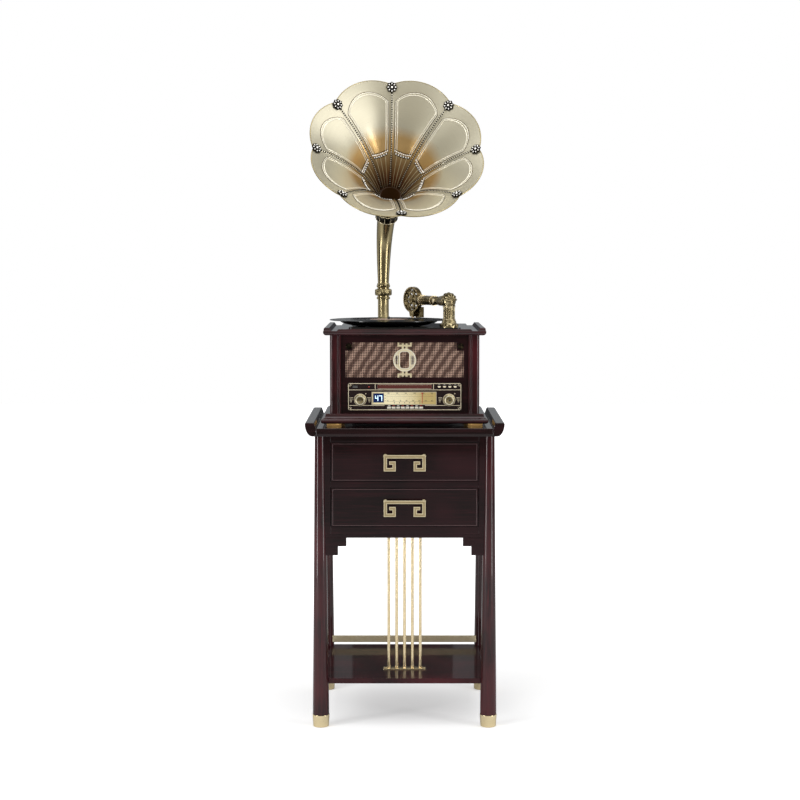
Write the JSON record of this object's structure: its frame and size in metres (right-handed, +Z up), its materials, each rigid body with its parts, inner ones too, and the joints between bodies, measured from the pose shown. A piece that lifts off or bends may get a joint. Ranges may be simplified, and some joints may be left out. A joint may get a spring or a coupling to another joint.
{
  "type": "horn record player on a drawer stand",
  "caption": "Horn record player with a petalled brass bell, turntable, tonearm and radio front, standing on a rosewood stand with drawers and an open shelf.",
  "frame": {"origin": "on the floor under the middle of the object's box", "axes": "+X to the object's right as the picture shows it, +Y to the back, +Z up along its longest side"},
  "size_m": [0.49, 0.43, 1.6169],
  "materials": {
    "rosewood": "dark reddish brown under a clear high gloss lacquer",
    "dark_wood": "satin",
    "plain_wood": "bare, lightly sealed",
    "brass": "polished and lacquered",
    "pale_brass": "brushed, champagne coloured",
    "old_brass": "antiqued dark in the recesses, bright on the high points",
    "black_gloss": "gloss",
    "cream_dial": "backlit cream",
    "display_glass": "dark blue window",
    "red_pointer": "gloss",
    "red_brown_gloss": "gloss",
    "grille_cloth": "woven brown cloth on a stiff board",
    "speaker_black": "matte",
    "steel": "zinc coated",
    "vinyl": "grooved gloss",
    "rubber": "matte",
    "pickup_orange": "gloss"
  },
  "bodies": {
    "cabinet": {"stand_top": "rosewood", "stand_legs": "rosewood", "leg_ferrules": "brass", "case_panels": "dark_wood", "case_frame": "rosewood", "front_apron": "rosewood", "lower_shelf": "rosewood", "shelf_rail": "brass", "harp_rods": "brass", "player_feet": "brass", "base_moulding": "rosewood", "player_panels": "rosewood", "corner_posts": "rosewood", "back_panel": "dark_wood", "front_panel": "rosewood", "grille_cloth": "grille_cloth", "grille_ornament": "brass", "fascia": "black_gloss", "dial_plate": "cream_dial", "display_window": "display_glass", "speakers": "speaker_black", "electronics": "steel", "top_board": "rosewood", "deck_plate": "black_gloss", "motor": "steel", "drive_belt": "rubber", "tonearm_base": "old_brass", "horn_socket": "brass"},
    "upper_drawer": {"upper_drawer_front": "rosewood", "upper_drawer_box": "plain_wood", "upper_drawer_pull": "pale_brass"},
    "lower_drawer": {"lower_drawer_front": "rosewood", "lower_drawer_box": "plain_wood", "lower_drawer_pull": "pale_brass"},
    "turntable": {"platter": "black_gloss", "record": "vinyl"},
    "rotor": {"motor_pulley": "brass"},
    "elbow": {"tonearm_elbow": "old_brass"},
    "arm": {"tonearm_tube": "old_brass", "soundbox": "old_brass", "stylus": "pickup_orange"},
    "horn": {"horn_neck": "pale_brass", "horn_bell": "pale_brass", "horn_rosettes": "old_brass"},
    "volume": {"volume_knob": "pale_brass"},
    "tuning": {"tuning_knob": "pale_brass"},
    "pointer": {"dial_pointer": "red_pointer"},
    "tray": {"disc_tray": "red_brown_gloss"},
    "key_1": {"top_key_1": "pale_brass"},
    "key_2": {"top_key_2": "pale_brass"},
    "key_3": {"top_key_3": "pale_brass"},
    "key_4": {"top_key_4": "pale_brass"},
    "preset_key_1": {"preset_1": "pale_brass"},
    "preset_key_2": {"preset_2": "pale_brass"},
    "preset_key_3": {"preset_3": "pale_brass"},
    "preset_key_4": {"preset_4": "pale_brass"},
    "preset_key_5": {"preset_5": "pale_brass"},
    "preset_key_6": {"preset_6": "pale_brass"},
    "preset_key_7": {"preset_7": "pale_brass"},
    "preset_key_8": {"preset_8": "pale_brass"}
  },
  "joints": [
    {"name": "upper_drawer_slide", "type": "slide", "parent": "cabinet", "child": "upper_drawer", "axis": [0, -1, 0], "range_m": [0, 0.24]},
    {"name": "lower_drawer_slide", "type": "slide", "parent": "cabinet", "child": "lower_drawer", "axis": [0, -1, 0], "range_m": [0, 0.24]},
    {"name": "platter_spin", "type": "hinge", "parent": "cabinet", "child": "turntable", "pos_m": [-0.04, -0.008, 1], "axis": [0, 0, -1], "continuous": true},
    {"name": "motor_spin", "type": "hinge", "parent": "cabinet", "child": "rotor", "pos_m": [-0.001, 0.05955, 0.985], "axis": [0, 0, -1], "continuous": true},
    {"name": "tonearm_swing", "type": "hinge", "parent": "cabinet", "child": "elbow", "pos_m": [0.111, -0.105, 1.058], "axis": [0, 0, 1], "range_deg": [-30, 8]},
    {"name": "tonearm_lift", "type": "hinge", "parent": "elbow", "child": "arm", "pos_m": [0.08424, -0.05467, 1.058], "axis": [0.8829, 0.4695, 0], "range_deg": [0, 40]},
    {"name": "horn_swivel", "type": "hinge", "parent": "cabinet", "child": "horn", "pos_m": [-0.0556, 0.164, 1.0938], "axis": [0, 0, 1], "range_deg": [-60, 60]},
    {"name": "volume_turn", "type": "hinge", "parent": "cabinet", "child": "volume", "pos_m": [-0.1104, -0.1514, 0.8149], "axis": [0, 1, 0], "range_deg": [-150, 150]},
    {"name": "tuning_turn", "type": "hinge", "parent": "cabinet", "child": "tuning", "pos_m": [0.1104, -0.1514, 0.8149], "axis": [0, 1, 0], "range_deg": [-810, 270]},
    {"name": "pointer_slide", "type": "slide", "parent": "cabinet", "child": "pointer", "axis": [1, 0, 0], "range_m": [-0.0901, 0.0301]},
    {"name": "disc_tray_slide", "type": "slide", "parent": "cabinet", "child": "tray", "axis": [0, -1, 0], "range_m": [0, 0.128]},
    {"name": "key_1_press", "type": "slide", "parent": "cabinet", "child": "key_1", "axis": [0, 1, 0], "range_m": [0, 0.0015], "stiffness_N_per_m": 300, "springref_m": -0.0005},
    {"name": "key_2_press", "type": "slide", "parent": "cabinet", "child": "key_2", "axis": [0, 1, 0], "range_m": [0, 0.0015], "stiffness_N_per_m": 300, "springref_m": -0.0005},
    {"name": "key_3_press", "type": "slide", "parent": "cabinet", "child": "key_3", "axis": [0, 1, 0], "range_m": [0, 0.0015], "stiffness_N_per_m": 300, "springref_m": -0.0005},
    {"name": "key_4_press", "type": "slide", "parent": "cabinet", "child": "key_4", "axis": [0, 1, 0], "range_m": [0, 0.0015], "stiffness_N_per_m": 300, "springref_m": -0.0005},
    {"name": "preset_key_1_press", "type": "slide", "parent": "cabinet", "child": "preset_key_1", "axis": [0, 1, 0], "range_m": [0, 0.0015], "stiffness_N_per_m": 300, "springref_m": -0.0005},
    {"name": "preset_key_2_press", "type": "slide", "parent": "cabinet", "child": "preset_key_2", "axis": [0, 1, 0], "range_m": [0, 0.0015], "stiffness_N_per_m": 300, "springref_m": -0.0005},
    {"name": "preset_key_3_press", "type": "slide", "parent": "cabinet", "child": "preset_key_3", "axis": [0, 1, 0], "range_m": [0, 0.0015], "stiffness_N_per_m": 300, "springref_m": -0.0005},
    {"name": "preset_key_4_press", "type": "slide", "parent": "cabinet", "child": "preset_key_4", "axis": [0, 1, 0], "range_m": [0, 0.0015], "stiffness_N_per_m": 300, "springref_m": -0.0005},
    {"name": "preset_key_5_press", "type": "slide", "parent": "cabinet", "child": "preset_key_5", "axis": [0, 1, 0], "range_m": [0, 0.0015], "stiffness_N_per_m": 300, "springref_m": -0.0005},
    {"name": "preset_key_6_press", "type": "slide", "parent": "cabinet", "child": "preset_key_6", "axis": [0, 1, 0], "range_m": [0, 0.0015], "stiffness_N_per_m": 300, "springref_m": -0.0005},
    {"name": "preset_key_7_press", "type": "slide", "parent": "cabinet", "child": "preset_key_7", "axis": [0, 1, 0], "range_m": [0, 0.0015], "stiffness_N_per_m": 300, "springref_m": -0.0005},
    {"name": "preset_key_8_press", "type": "slide", "parent": "cabinet", "child": "preset_key_8", "axis": [0, 1, 0], "range_m": [0, 0.0015], "stiffness_N_per_m": 300, "springref_m": -0.0005}
  ],
  "couplings": [
    {"joint": "motor_spin", "follows": "platter_spin", "ratio": 10},
    {"joint": "pointer_slide", "follows": "tuning_turn", "m_per_rad": 0.0063662}
  ]
}
